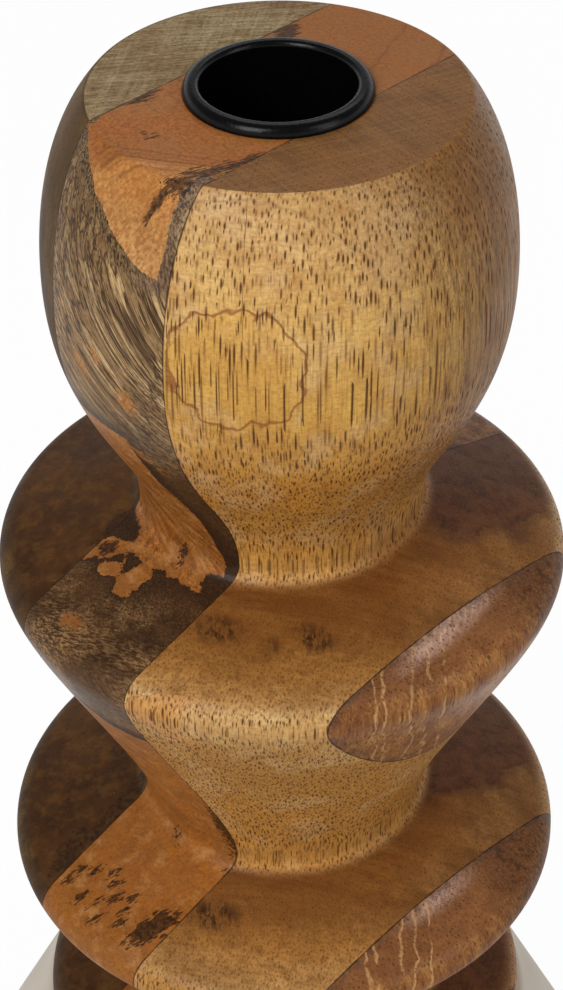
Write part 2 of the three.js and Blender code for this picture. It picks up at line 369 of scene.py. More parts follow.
def cup_outline():
    low = top_face - CUP_DEPTH
    floor = low + CUP_WALL
    outer = CUP_INNER + CUP_WALL
    crest = at(CUP_INNER + LIP_INNER_ROUND, LIP_TOP)
    edge = at(LIP_RADIUS, top_face + LIP_EDGE)
    shoulder = at(LIP_RADIUS - LIP_EDGE, LIP_TOP)
    pulls = (edge.lerp(shoulder, 2 / 3), crest.lerp(shoulder, 2 / 3))
    dome = interpolate_bezier(edge, *pulls, crest, DOME_POINTS)
    inner_top = at(CUP_INNER, LIP_TOP)
    inner_floor = at(CUP_INNER, floor)
    return [
        at(0, low),
        *rounded(at(0, low), at(outer, low), at(outer, top_face), CUP_FLOOR_ROUND, steps=8),
        at(outer, top_face),
        at(LIP_RADIUS - LIP_CHAMFER, top_face),
        at(LIP_RADIUS, top_face + LIP_CHAMFER),
        *[at(point[0], point[1]) for point in dome],
        *rounded(crest, inner_top, inner_floor, LIP_INNER_ROUND, steps=10)[1:],
        *rounded(inner_top, inner_floor, at(0, floor), CUP_FLOOR_ROUND - CUP_WALL, steps=8),
        at(0, floor),
    ]


cup = finished(turned(cup_outline(), CUP_STEPS), "pressed_cup", crease=40)
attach(cup, "cup")
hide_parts("candle_cup")

# %% [markdown]
# ## Helpers for node trees
# Every finish below is a small tree of nodes. Writing each node and link out would hide the idea, so a few
# short functions put a node into the tree on the bench, fill its inputs with plain values or links, and hand
# back its outputs. A new material or group clears the bench for its own tree. Colours are written as a paint
# chart gives them, 0 to 255 each of red, green and blue.

# %% Node helpers
ORIGIN = (0, 0, 0)
bench = {}


def feed(socket, value):
    if isinstance(value, bpy.types.NodeSocket):
        bench["tree"].links.new(value, socket)
    else:
        socket.default_value = value


def put(kind, inputs=None, **options):
    """Adds a node, sets its options, fills its inputs, named or numbered, and returns its outputs."""
    made = bench["tree"].nodes.new(kind)
    for option, value in options.items():
        setattr(made, option, value)
    for key, value in (inputs or {}).items():
        feed(made.inputs[key], value)
    return made.outputs


def calc(operation, *values):
    return put("ShaderNodeMath", dict(enumerate(values)), operation=operation)[0]


def plus(first, second):
    return calc("ADD", first, second)


def minus(first, second):
    return calc("SUBTRACT", first, second)


def times(product, *values):
    for value in values:
        product = calc("MULTIPLY", product, value)
    return product


def aim(operation, *values):
    """A vector from other vectors, or for a dot product and a length one number."""
    made = put("ShaderNodeVectorMath", dict(enumerate(values)), operation=operation)
    return made["Value" if operation in ("DOT_PRODUCT", "LENGTH") else "Vector"]


def scaled(vector, factor):
    return put("ShaderNodeVectorMath", {0: vector, "Scale": factor}, operation="SCALE")["Vector"]


def joined(x=0, y=0, z=0):
    return put("ShaderNodeCombineXYZ", {"X": x, "Y": y, "Z": z})[0]


def split(vector):
    """The three coordinates of a vector."""
    return put("ShaderNodeSeparateXYZ", {0: vector}).values()


def ramp(value, low, high, start=0, end=1):
    """Goes smoothly from start to end while the value goes from low to high."""
    inputs = {"Value": value, "From Min": low, "From Max": high, "To Min": start, "To Max": end}
    return put("ShaderNodeMapRange", inputs, interpolation_type="SMOOTHSTEP")["Result"]


def noise(place, scale, detail=2, roughness=0.5, output=0):
    """Even noise around one half, with as many places per millimetre as the scale says."""
    inputs = {"Vector": place, "Scale": scale, "Detail": detail, "Roughness": roughness}
    return put("ShaderNodeTexNoise", inputs, noise_dimensions="3D")[output]


def dyed(colour):
    """The light that a colour reflects. A link passes through as it is."""
    if isinstance(colour, bpy.types.NodeSocket):
        return colour
    shares = [part / 255 for part in colour]
    linear = [part / 12.92 if part <= 0.04045 else ((part + 0.055) / 1.055) ** 2.4 for part in shares]
    return (*linear, 1)


def mix(share, first, second):
    """Mixes two colours. The node keeps its colour sockets at places 6 and 7, and its result at 2."""
    return put("ShaderNodeMix", {0: share, 6: dyed(first), 7: dyed(second)}, data_type="RGBA")[2]


def layered(colour, *layers):
    """Lays colours over a colour. Each layer is a mask, how strongly it shows, and its colour."""
    for mask, strength, tint in layers:
        colour = mix(times(mask, strength), colour, tint)
    return colour


def new_group(name, inputs, outputs, kind="NodeSocketFloat"):
    """An empty node group with named sockets, and the two ends to link from and to."""
    tree = bpy.data.node_groups.new(name, "ShaderNodeTree")
    for label, value in inputs.items():
        wanted = "NodeSocketVector" if isinstance(value, tuple) else "NodeSocketFloat"
        tree.interface.new_socket(name=label, in_out="INPUT", socket_type=wanted).default_value = value
    for label in outputs:
        tree.interface.new_socket(name=label, in_out="OUTPUT", socket_type=kind)
    bench["tree"] = tree
    return tree, tree.nodes.new("NodeGroupInput").outputs, tree.nodes.new("NodeGroupOutput").inputs


def use(group, **inputs):
    """Puts a group in the tree. An underscore in an input's name is a space."""
    named = {key.replace("_", " ").capitalize(): value for key, value in inputs.items()}
    return put("ShaderNodeGroup", named, node_tree=group)


# %% [markdown]
# ## Wood as a solid
# Wood isn't a printed sheet: a turned shape shows long pores where it runs along the fibres and dots where
# it cuts across them. A texture that fills space gives both from one recipe, so all the wood groups read
# the place inside the board, in millimetres, and bend it a little, because no tree grows straight.

# %% Group: place in the board
place_tree, start, end = new_group(
    "place in the board", {"Wander": 1.5, "Reach": 40}, ("Place", "Straight"), kind="NodeSocketVector")
straight = scaled(put("ShaderNodeTexCoord")["Object"], 1 / MM)
calm = aim("DIVIDE", straight, joined(start["Reach"], start["Reach"], start["Reach"]))
drift = aim("SUBTRACT", noise(calm, 1, output="Color"), (0.5, 0.5, 0.5))
feed(end["Place"], aim("ADD", straight, scaled(drift, start["Wander"])))
feed(end["Straight"], straight)

# %% [markdown]
# ## Pores
# The pores of this timber are tubes a quarter of a millimetre wide and less than a millimetre apart, that
# run along the grain and are a little flattened along the direction of growth. Cells stretched along the
# fibre give each pore its own place and width. Only the distance across the fibre counts, so every cell
# holds one straight tube that ends where the next cell begins.

# %% Group: pores


def leant(place, lean):
    return put("ShaderNodeVectorRotate", {"Vector": place, "Rotation": lean}, rotation_type="EULER_XYZ")[0]


pore_tree, start, end = new_group(
    "pores",
    {"Place": ORIGIN, "Lean": ORIGIN, "Spacing": 0.8, "Stretch": 1.5, "Width": 0.3, "Length": 12},
    ("Pore", "Halo"),
)
cell = joined(times(start["Spacing"], start["Stretch"]), start["Spacing"], start["Length"])
local = aim("DIVIDE", leant(start["Place"], start["Lean"]), cell)
cells = put("ShaderNodeTexVoronoi", {"Vector": local, "Scale": 1}, voronoi_dimensions="3D", feature="F1")
luck = put("ShaderNodeSeparateColor", {0: cells["Color"]})
sideways = aim("MULTIPLY", aim("SUBTRACT", local, cells["Position"]), (1, 1, 0))
away = times(aim("LENGTH", sideways), start["Spacing"])
radius = times(start["Width"], ramp(luck[0], 0, 1, 0.34, 0.62))
share = calc("DIVIDE", away, radius)
depth = ramp(luck[1], 0, 0.8, 0.4, 1)
feed(end["Pore"], times(ramp(share, 0.5, 1.3, 1, 0), depth))
feed(end["Halo"], ramp(share, 1, 2.6, 1, 0))

# %% [markdown]
# ## Fibres
# Fibres come from noise that is pulled out along the grain. Seen whole it gives soft streaks; only its
# middle value gives hair lines, as thin as the pen line of a contour on a map.

# %% Group: fibre streaks
streak_tree, start, end = new_group(
    "fibre streaks",
    {"Place": ORIGIN, "Lean": ORIGIN, "Width": 0.6, "Spread": 1, "Length": 12, "Softness": 0.2,
     "Fineness": 0.05},
    ("Streak", "Hair"),
)
cell = joined(start["Width"], times(start["Width"], start["Spread"]), start["Length"])
grain = noise(aim("DIVIDE", leant(start["Place"], start["Lean"]), cell), 1, 3, 0.6)
feed(end["Streak"], ramp(grain, minus(0.5, start["Softness"]), plus(0.5, start["Softness"])))
feed(end["Hair"], ramp(calc("ABSOLUTE", minus(grain, 0.5)), 0, start["Fineness"], 1, 0))

# %% [markdown]
# ## Growth lines
# A year's growth is a shell, only slightly curved across one board. Where the turned bulb bulges through
# such a shell the line closes to a ring, which is why this wood shows contour lines like a map. The group
# measures how far a place lies along the direction of growth, and draws one line at a set distance.

# %% Group: growth line
layer_tree, start, end = new_group(
    "growth line",
    {"Place": ORIGIN, "Across": (1, 0, 0), "Middle": 235, "Bend": 0, "Distance": 30,
     "Thickness": 0.12, "Jagged": 0.5},
    ("Line", "Beyond"),
)
along = aim("DOT_PRODUCT", start["Place"], start["Across"])
lift = calc("POWER", calc("ABSOLUTE", minus(split(start["Place"])[2], start["Middle"])), 2)
shake = minus(noise(start["Place"], 0.3, 3, 0.45), 0.5)
along = plus(minus(along, times(lift, start["Bend"])), times(shake, start["Jagged"]))
beyond = minus(along, start["Distance"])
share = calc("DIVIDE", calc("ABSOLUTE", beyond), start["Thickness"])
feed(end["Line"], ramp(share, 0.2, 1, 1, 0))
feed(end["Beyond"], beyond)

# %% [markdown]
# ## Zones
# A fungus stained this wood while it was still a log, and closed its zones off with dark borders. A zone is
# a space in the board: an ellipsoid, or what is left between a few planes. One group measures how deep a
# place lies inside an ellipsoid, and another frays the edge and gives the border beside it.

# %% Group: zone depth
zone_tree, start, end = new_group(
    "zone depth",
    {"Place": ORIGIN, "Centre": ORIGIN, "Turn": ORIGIN, "Size": (1, 1, 1), "Scale": 1},
    ("Depth",),
)
local = put(
    "ShaderNodeMapping",
    {"Vector": start["Place"], "Location": start["Centre"], "Rotation": start["Turn"],
     "Scale": start["Size"]},
    vector_type="TEXTURE",
)[0]
feed(end["Depth"], times(minus(1, aim("LENGTH", local)), start["Scale"]))

# %% Group: frayed edge
fray_tree, start, end = new_group(
    "frayed edge",
    {"Place": ORIGIN, "Depth": 0, "Ragged": 3, "Border": 1.2, "Grain": 0.16},
    ("Inside", "Border"),
)
coarse = minus(noise(start["Place"], start["Grain"], 2), 0.5)
fine = minus(noise(start["Place"], times(start["Grain"], 8), 2, 0.6), 0.5)
sway = plus(coarse, times(fine, 0.35))
depth = plus(start["Depth"], times(sway, start["Ragged"]))
outward = calc("DIVIDE", times(depth, -1), start["Border"])
feed(end["Inside"], ramp(depth, -0.12, 0.12))
feed(end["Border"], times(ramp(outward, 0.2, 1, 1, 0), ramp(depth, 0.1, -0.1)))

# %% [markdown]
# ## End grain, saw marks and glue lines
# End grain drinks more stain than side grain, so the level faces are darker than the walls. The direction
# of the surface tells them apart. The flat top still shows the crossing scratches of the saw and the
# sander, and each glue joint is a hair of darker glue.

# %% Group: end grain
end_tree, start, end = new_group("end grain", {"Low": 0.75, "High": 0.96}, ("End", "Flat"))
upright = split(put("ShaderNodeTexCoord")["Normal"])[2]
feed(end["End"], ramp(calc("ABSOLUTE", upright), start["Low"], start["High"]))
feed(end["Flat"], ramp(upright, 0.975, 0.995))

# %% Group: saw marks
CROSSING = (0, 1.35)
MARK_LENGTH = 14
saw_tree, start, end = new_group("saw marks", {"Place": ORIGIN, "Turn": 0.4, "Spacing": 0.5}, ("Mark",))
marks = []
for turn in CROSSING:
    inputs = {"Vector": start["Place"], "Angle": plus(start["Turn"], turn)}
    swung = put("ShaderNodeVectorRotate", inputs, rotation_type="Z_AXIS")[0]
    cell = joined(start["Spacing"], MARK_LENGTH, MARK_LENGTH)
    marks.append(ramp(noise(aim("DIVIDE", swung, cell), 1, 3, 0.65), 0.35, 0.68))
feed(end["Mark"], times(plus(*marks), 0.5))

# %% Group: glue line
glue_tree, start, end = new_group("glue line", {"Straight": ORIGIN, "Joint": 0, "Width": 0.12}, ("Line",))
gap = calc("ABSOLUTE", minus(split(start["Straight"])[0], start["Joint"]))
width = times(start["Width"], ramp(noise(start["Straight"], 0.35, 2), 0.3, 0.7, 0.5, 1.5))
feed(end["Line"], ramp(calc("DIVIDE", gap, width), 0.5, 1.3, 1, 0))

# %% [markdown]
# ## Lacquer
# A satin lacquer lies over all the wood. It sinks into the pores, follows the fibres a little and is dulled
# in patches by handling, which is what breaks a highlight up. The group turns those into a roughness and a
# height for the bump.

# %% Group: lacquer
lacquer_tree, start, end = new_group(
    "lacquer", {"Place": ORIGIN, "Pore": 0, "Streak": 0, "Gloss": 0.4}, ("Roughness", "Height"))
worn = ramp(noise(start["Place"], 0.07, 3, 0.6), 0.3, 0.7, -0.05, 0.07)
feed(end["Roughness"], plus(plus(start["Gloss"], worn), times(start["Pore"], 0.25)))
skin = times(noise(start["Place"], 1.6, 2), 0.25)
sunk = times(start["Pore"], -1)
feed(end["Height"], plus(plus(skin, sunk), times(start["Streak"], 0.3)))

print("groups:", ", ".join(sorted(group.name for group in bpy.data.node_groups)))

# %% [markdown]
# ## The finish of a board
# All the boards end the same way: a fine grit, pores and glue lines darken the colour, the lacquer gives
# roughness and height, and the Principled shader carries the lacquer as a thin coat. Only the colours
# differ, so this is one function and each board's own colours come before it.

# %% Lacquered wood
PORE_COLOUR = (82, 46, 18)
GLUE_COLOUR = (38, 22, 12)
GRIT_COLOUR = (78, 46, 20)
THIN_COAT = {"IOR": 1.2, "Coat Weight": 0.04, "Coat Roughness": 0.15}
RIM = (256, 250)
UPRIGHT = ORIGIN
TO_THE_CORNER = (math.radians(90), math.radians(45), 0)
TANGENTIAL = (0, 0, math.radians(55))
FORWARD = (math.radians(90), math.radians(-17), 0)


def new_material(name):
    material = bpy.data.materials.new(name)
    material.use_nodes = True
    bench["tree"] = material.node_tree
    bench["tree"].nodes.clear()
    return material


def new_finish(name, wander):
    """A material, the bent and the straight place in its piece, and the straight one's coordinates."""
    material = new_material(name)
    spot = use(place_tree, wander=wander)
    return material, spot["Place"], spot["Straight"], split(spot["Straight"])


def fibres(place, lean, width, length, **options):
    """The outputs Streak and Hair of the fibre group, with the sizes in millimetres."""
    return use(streak_tree, place=place, lean=lean, width=width, length=length, **options)


def streaks(place, lean, width, length, **options):
    return fibres(place, lean, width, length, **options)["Streak"]


def tubes(place, lean, spacing, width, length=12, stretch=1.5):
    """The outputs Pore and Halo of the pore group, with the sizes in millimetres."""
    return use(pore_tree, place=place, lean=lean, spacing=spacing, width=width, length=length,
               stretch=stretch)


def cloudy(place, scale, low=0.35, high=0.65, detail=4):
    """Soft patches of 1 over the size given by the scale, in places per millimetre."""
    return ramp(noise(place, scale, detail, 0.6), low, high)


def off_axis(place):
    """How far a place lies from the turning's axis."""
    return aim("LENGTH", aim("MULTIPLY", place, (1, 1, 0)))


def surfaced(colour, roughness, height, strength, distance, extra=None):
    """Closes a material: a bump whose distance is in millimetres, the shader and the output."""
    relief = put("ShaderNodeBump", {"Height": height, "Strength": strength, "Distance": distance * MM})
    shader = put("ShaderNodeBsdfPrincipled", {
        "Base Color": colour, "Roughness": roughness, "Normal": relief["Normal"], **(extra or {}),
    })
    put("ShaderNodeOutputMaterial", {"Surface": shader["BSDF"]})
    print("nodes in this finish:", len(bench["tree"].nodes))


def lined(colour, place, lines, across, jagged, mask, strength, tint):
    """Lays growth lines over a colour, each at its distance along the growth and with its thickness."""
    for distance, thickness in lines:
        line = use(layer_tree, place=place, across=across, jagged=jagged, distance=distance,
                   thickness=thickness)["Line"]
        colour = layered(colour, (times(line, mask), strength, tint))
    return colour


def lacquered(grown, place, colour, pore, streak, gloss, joints, darkness=0.85, grit=0.3):
    """Adds grit, pores, glue lines and lacquer to a board's colour, and closes its node tree."""
    colour = layered(
        colour, (cloudy(grown, 1.7, 0.42, 0.72, 3), grit, GRIT_COLOUR), (pore, darkness, PORE_COLOUR))
    for joint in joints:
        seam = use(glue_tree, straight=place, joint=JOINTS[joint])["Line"]
        colour = layered(colour, (seam, 0.8, GLUE_COLOUR))
    skin = use(lacquer_tree, place=grown, pore=pore, streak=streak, gloss=gloss)
    surfaced(colour, skin["Roughness"], skin["Height"], strength=0.5, distance=0.1, extra=THIN_COAT)


# %% Colours by height, and zones inside a board
def by_value(value, stops):
    """A colour that changes with a value, such as the height in millimetres, from a few stops."""
    low, high = stops[0][0], stops[-1][0]
    inputs = {"Value": value, "From Min": low, "From Max": high}
    made = put("ShaderNodeValToRGB", {0: put("ShaderNodeMapRange", inputs, clamp=True)["Result"]})
    elements = made["Color"].node.color_ramp.elements
    while len(elements) < len(stops):
        elements.new(0.5)
    for element, (place, colour) in zip(elements, stops):
        element.position = (place - low) / (high - low)
        element.color = dyed(colour)
    return made["Color"]


def gathered(depths, operation="MAXIMUM"):
    """Several zones as one, or with MINIMUM what they share."""
    deepest = depths[0]
    for depth in depths[1:]:
        deepest = calc(operation, deepest, depth)
    return deepest


def cut_by(place, planes):
    """How deep a place lies in the space that a few planes, each a normal and an offset, leave."""
    depths = [minus(aim("DOT_PRODUCT", place, normal), offset) for normal, offset in planes]
    return gathered(depths, "MINIMUM")


def ellipsoids(place, table):
    """How deep a place lies in the deepest of a few ellipsoids: centre, turn in degrees and half sizes."""
    depths = []
    for centre, turns, size in table:
        turn = [math.radians(degrees) for degrees in turns]
        inside = use(zone_tree, place=place, centre=centre, turn=turn, size=size, scale=min(size))
        depths.append(inside["Depth"])
    return gathered(depths)


def torn(place, table, lean, width, reach):
    """Ellipsoids whose edges are torn into strands along the fibre, by as much as the reach says."""
    strand = streaks(place, lean, width, width * 8, softness=0.2)
    return ramp(plus(ellipsoids(place, table), times(minus(strand, 0.5), reach)), 0, 0.3)


# %% [markdown]
# ## The front board
# The widest board in view is golden sapwood with brown pores. Its growth layers stand nearly upright and
# face the corner at the right, so the bulb bulges through one of them and shows a closed brown contour.
# Level faces are end grain: they come out darker and redder and show the growth as fine lines. Each colour
# is a pile of layers: a mask, its strength and its tint.

# %% Front board: colour of the side
FRONT_GROWTH = (0.571, -0.82, 0)
# The pale stops at 180 and 192 are painted highlights: a pale band on the nose of the upper disc, and one
# along the foot of the neck above it.
FRONT_SIDE_AND_PAINTED_HIGHLIGHTS = (
    (60, (148, 98, 46)), (90, (184, 126, 56)), (112, (204, 151, 80)), (119, (204, 151, 80)),
    (130, (244, 176, 88)), (160, (196, 144, 72)), (172, (210, 162, 92)), (180, (244, 206, 142)),
    (192, (255, 188, 92)), (212, (208, 140, 50)), (228, (240, 188, 92)), (242, (250, 204, 120)),
    (254, (236, 194, 130)),
)
front_wood, grown, place, (x, y, height) = new_finish("front board wood", wander=1)
outward = aim("DOT_PRODUCT", place, FRONT_GROWTH)
fine = streaks(grown, UPRIGHT, 0.3, 6)
older = times(ramp(outward, 33, 11), ramp(height, 192, 208, 0.45, 1))
aged = mix(streaks(grown, TANGENTIAL, 0.8, 26, spread=3), (160, 112, 56), (78, 46, 20))
browned = times(ramp(height, 245, 254), ramp(outward, 23, 15))
darts = fibres(grown, UPRIGHT, 0.85, 9, fineness=0.05)["Hair"]
darts = times(darts, ramp(outward, 31, 20), ramp(height, 202, 212))
# far_foot lays a plainer brown back over the painted highlight at the neck's foot, between 184 and 188,
# towards the back of the board.
far_foot = times(ramp(height, 193, 188), ramp(height, 180, 184), ramp(outward, 22, 14))
side = layered(
    by_value(height, FRONT_SIDE_AND_PAINTED_HIGHLIGHTS),
    (streaks(grown, TANGENTIAL, 1.3, 50, spread=4, softness=0.14), 0.35, (190, 132, 62)),
    (cloudy(place, 0.16), 0.35, (184, 126, 64)),
    (cloudy(grown, 0.11, 0.5, 0.62), 0.4, (230, 192, 140)),
    (fine, 0.22, (158, 104, 48)),
    (streaks(grown, TANGENTIAL, 1.2, 0.3, spread=2, softness=0.12), 0.22, (156, 110, 56)),
    (older, 0.85, aged),
    (browned, 0.5, (124, 82, 36)),
    (darts, 0.5, (72, 44, 18)),
    (far_foot, 0.75, (150, 98, 44)),
)

# %% Front board: colour of the level faces
FRONT_LEVEL = (
    (22, (124, 74, 28)), (27, (106, 60, 20)), (34, (146, 94, 40)), (40, (184, 130, 66)),
    (45, (214, 164, 100)), (51, (224, 176, 112)),
)
FRONT_DARK = (
    ((16, 27, 184), (0, 0, -10), (15, 21, 9)), ((15, 28, 120), (0, 0, -10), (13, 22, 9)),
    ((15, 28, 74), (0, 0, 0), (24, 60, 12)),
)
FRONT_SMUDGES = (
    ((15, -29, 184.5), (0, 0, 30), (5.5, 3.5, 4)), ((27, -20, 184.5), (0, 0, 20), (5, 3.5, 4)),
    ((23.2, -26, 184), (0, 0, 0), (2.6, 3.4, 3)), ((14.5, -31.5, 120), (0, 0, 35), (6.5, 3.8, 4)),
    ((14.7, -37.2, 118.5), (0, 0, 0), (1.1, 2.4, 2)), ((10, -39, 118.4), (0, 0, 0), (1.2, 2.6, 2)),
)
face = use(end_tree, low=0.5, high=0.97)
around = off_axis(place)
# Darker olive towards the rim at the back of the level faces.
rear_rim = times(ramp(around, 28, 39), ramp(outward, 38, 24))
rear_rim_tint = mix(cloudy(place, 0.16, 0.4, 0.6), (136, 98, 58), (90, 58, 30))
dusk = use(fray_tree, place=place, depth=ellipsoids(place, FRONT_DARK), ragged=5, border=1.6)
strokes = streaks(place, TO_THE_CORNER, 1, 4, softness=0.1)
smudge = times(ramp(ellipsoids(place, FRONT_SMUDGES), 0, 2.6), ramp(strokes, 0.2, 0.9, 0.3, 1))
level = layered(
    by_value(around, FRONT_LEVEL),
    (rear_rim, 0.85, rear_rim_tint),
    (streaks(grown, TANGENTIAL, 2.6, 30, spread=8, softness=0.14), 0.35, (170, 118, 56)),
    (streaks(grown, TANGENTIAL, 0.5, 30, spread=11, softness=0.18), 0.22, (84, 48, 18)),
    (cloudy(place, 0.6, 0.45, 0.7), 0.4, (88, 52, 20)),
    (cloudy(place, 0.1), 0.4, (104, 62, 24)),
    (dusk["Inside"], 0.88, mix(cloudy(place, 0.35), (98, 60, 38), (64, 36, 22))),
    (dusk["Border"], 0.45, (66, 42, 30)),
    (smudge, 0.95, (40, 24, 12)),
)
saw = use(saw_tree, place=place, turn=0.35)["Mark"]
top = layered(mix(saw, (94, 62, 31), (136, 97, 54)), (cloudy(place, 0.09), 0.45, (140, 92, 46)))
colour = mix(times(face["End"], ramp(height, *RIM)), side, level)
colour = mix(face["Flat"], colour, top)

# %% Front board: growth lines, a check, pores and lacquer
CONTOUR = {"distance": 34.3, "middle": 239.5, "bend": 0.0084, "thickness": 0.15, "jagged": 1.5}
FAINT_LINE = {"distance": 28.2, "middle": 250, "bend": 0.006, "thickness": 0.25, "jagged": 2.2}
NOSE_LINE = {"distance": 43.4, "middle": 180, "bend": 0.006, "thickness": 0.12, "jagged": 2}
CHECK = {"across": (0.804, 0.595, 0), "distance": 0, "thickness": 0.07, "jagged": 0.5}
contour = use(layer_tree, place=place, across=FRONT_GROWTH, **CONTOUR)
faint = use(layer_tree, place=place, across=FRONT_GROWTH, **FAINT_LINE)
at_nose = use(layer_tree, place=place, across=FRONT_GROWTH, **NOSE_LINE)
check = use(layer_tree, place=place, **CHECK)["Line"]
on_bulb = ramp(height, 222, 238)
near_nose = times(ramp(height, 200, 190), ramp(x, 24, 17))
large = tubes(grown, TANGENTIAL, 0.64, 0.29, length=8, stretch=1.6)
small = tubes(grown, TANGENTIAL, 0.5, 0.22, length=5, stretch=1.3)["Pore"]
small = times(small, ramp(height, 230, 216, 0.15, 0.75))
colour = layered(
    colour,
    (times(ramp(contour["Beyond"], 0, 0.25), on_bulb), 0.3, (222, 164, 66)),
    (contour["Line"], 0.75, (140, 76, 32)),
    (times(faint["Line"], on_bulb), 0.25, (96, 64, 42)),
    (times(ramp(at_nose["Beyond"], 0, 0.2), near_nose), 0.55, (206, 136, 58)),
    (times(at_nose["Line"], near_nose), 0.45, (140, 76, 32)),
    (times(check, ramp(height, 232, 244)), 0.7, (70, 42, 22)),
    (large["Halo"], 0.2, (146, 88, 38)),
)
pore = times(calc("MAXIMUM", large["Pore"], small), minus(1, times(face["End"], 0.4)))
lacquered(grown, place, colour, pore, fine, 0.4, ("front", "edge"), darkness=0.93, grit=0.26)

# %% [markdown]
# ## The heart board
# The second board is the strangest: grey-brown heartwood whose fibres sweep over to the front, with orange
# zones that a fungus closed off by dark, stippled borders. Each zone is cut out of the board by planes, so
# the one that covers the top face also runs a tongue down the bulb. Smaller patches, stains and specks are
# ellipsoids, broken up by the fibres that run through them.

# %% Heart board: fibres that sweep over
SWEEP_TOP, SWEEP_REACH, SWEEP_SLOPE = 255, 30, 1.4
heart_wood, grown, place, (x, y, height) = new_finish("heart board wood", wander=1.5)
fall = calc("MAXIMUM", minus(SWEEP_TOP, height), 0)
bent = calc("MINIMUM", fall, SWEEP_REACH)
shift = times(bent, bent, SWEEP_SLOPE / (2 * SWEEP_REACH))
shift = plus(shift, times(minus(fall, bent), SWEEP_SLOPE))
swept = aim("SUBTRACT", grown, joined(x=shift))

# %% Heart board: its brown wood
lines = fibres(swept, UPRIGHT, 1.3, 30, fineness=0.075)
hairs = fibres(swept, UPRIGHT, 0.65, 12, fineness=0.06)["Hair"]
brown = layered(
    mix(streaks(swept, UPRIGHT, 2.6, 60), (216, 180, 128), (158, 120, 76)),
    (lines["Streak"], 0.35, (104, 74, 44)),
    (times(ramp(height, 232, 248), ramp(x, 2, -6)), 0.6, (108, 80, 48)),
    (lines["Hair"], 0.95, (46, 28, 14)),
    (hairs, 0.6, (64, 42, 22)),
)

# %% Heart board: the darker wood below
LOW_ON_BULB = (228, 211)
DASH_LEAN = (math.radians(90), math.radians(112), 0)


def blend(share, first, second):
    return put("ShaderNodeMix", {0: share, 2: first, 3: second})[0]


pale = times(ramp(off_axis(place), 29, 37, 0.12, 1), cloudy(place, 0.09, 0.38, 0.56))
short = streaks(swept, UPRIGHT, 0.32, 1.4, softness=0.07)
flat_dashes = streaks(place, DASH_LEAN, 0.34, 1.5, softness=0.1)
dull = layered(
    mix(cloudy(place, 0.12), (76, 48, 25), (45, 26, 13)),
    (ramp(height, 182, 177), 0.6, (104, 76, 50)),
    (blend(ramp(height, 186, 180), short, flat_dashes), plus(times(pale, 0.52), 0.13), (176, 136, 90)),
    (lines["Hair"], 0.5, (44, 28, 16)),
    (ramp(y, 2, 12), 0.85, mix(cloudy(place, 0.35), (160, 112, 72), (110, 72, 44))),
)
brown = mix(ramp(height, *LOW_ON_BULB), brown, dull)

# %% Heart board: where the orange zones lie
CAP = (((0.57, 0, 0.82), 206.3), ((-1, 0, 0), -9), ((0, 0, 1), 247.6))
TOP_FACE = (((0, 0, 1), 259.5), ((0, 1, 0), -23))
NECK = (((-0.965, 0, -0.26), -57.9), ((0, 0, -1), -216.5), ((0, 0, 1), 187.2))
HOLLOW = (((0, 0, -1), -165.5),)
PATCHES = (
    ((-2, -22.5, 187.5), (0, 0, 0), (7, 5.5, 5)), ((5, -24.5, 188.5), (0, 0, 40), (2.2, 4, 4)),
    ((-11.5, -29, 185), (0, 0, 35), (4.6, 2.2, 3)), ((-2.4, -31, 185), (0, 0, -12), (2, 4, 4)),
    ((-7.5, -31, 184.5), (0, 0, -60), (1.6, 3, 3)),
)
FLECKS = (
    ((-1.5, -36, 231), (0, -47, 0), (1, 4, 3.6)), ((-5.4, -35.5, 227.6), (0, -52, 0), (0.8, 4, 3)),
    ((4.1, -35.5, 225.4), (0, -40, 0), (1.8, 4, 2.4)), ((4.3, -32.6, 213.9), (0, -50, 0), (0.9, 4, 3.6)),
    ((-5, -41.5, 181.5), (0, 0, 0), (2.4, 1.6, 2)),
)
zones = gathered([cut_by(place, planes) for planes in (CAP, TOP_FACE, NECK, HOLLOW)])
clean = use(fray_tree, place=place, depth=zones, ragged=2.4, border=3.6)
mottled = use(
    fray_tree, place=place, depth=ellipsoids(place, PATCHES), ragged=4, border=0.8, grain=0.35)
strands = streaks(swept, UPRIGHT, 0.8, 1.8, softness=0.25)
flecked = ramp(plus(ellipsoids(place, FLECKS), times(minus(strands, 0.62), 2)), 0, 0.25)
inside = gathered([clean["Inside"], mottled["Inside"], flecked])
border = calc("MAXIMUM", clean["Border"], mottled["Border"])
border = calc("MINIMUM", border, minus(1, inside))

# %% Heart board: colours of the orange wood
TONGUE_LEAN = (0, math.radians(-30), 0)
HEART_ORANGE = (
    (60, (124, 78, 34)), (112, (164, 104, 38)), (120, (170, 106, 38)), (134, (200, 124, 52)),
    (146, (206, 132, 60)), (182, (140, 94, 50)), (188, (190, 120, 40)), (222, (190, 128, 54)),
    (246, (240, 190, 124)), (258, (208, 144, 78)),
)
fine = streaks(grown, TONGUE_LEAN, 0.5, 1.9, softness=0.1)
flowing = times(ramp(height, 220, 208), ramp(height, 184, 187))
fan = mix(ramp(lines["Streak"], 0.3, 0.7), (214, 138, 60), (112, 62, 24))
rough_sawn = times(streaks(place, FORWARD, 0.5, 5, softness=0.14), ramp(height, 196, 189))
orange = layered(
    by_value(height, HEART_ORANGE),
    (streaks(swept, UPRIGHT, 1.2, 16), 0.4, (156, 92, 38)),
    (flowing, 0.75, fan),
    (times(hairs, flowing), 0.9, (74, 40, 18)),
    (rough_sawn, 0.4, (124, 74, 32)),
    (times(cloudy(place, 0.26, 0.46, 0.62), ramp(height, 216, 206)), 0.5, (126, 74, 26)),
    (fine, 0.6, (156, 92, 40)),
    (cloudy(place, 0.12), 0.35, (140, 92, 48)),
    (cloudy(place, 0.3, 0.5, 0.7), 0.4, (206, 150, 92)),
)

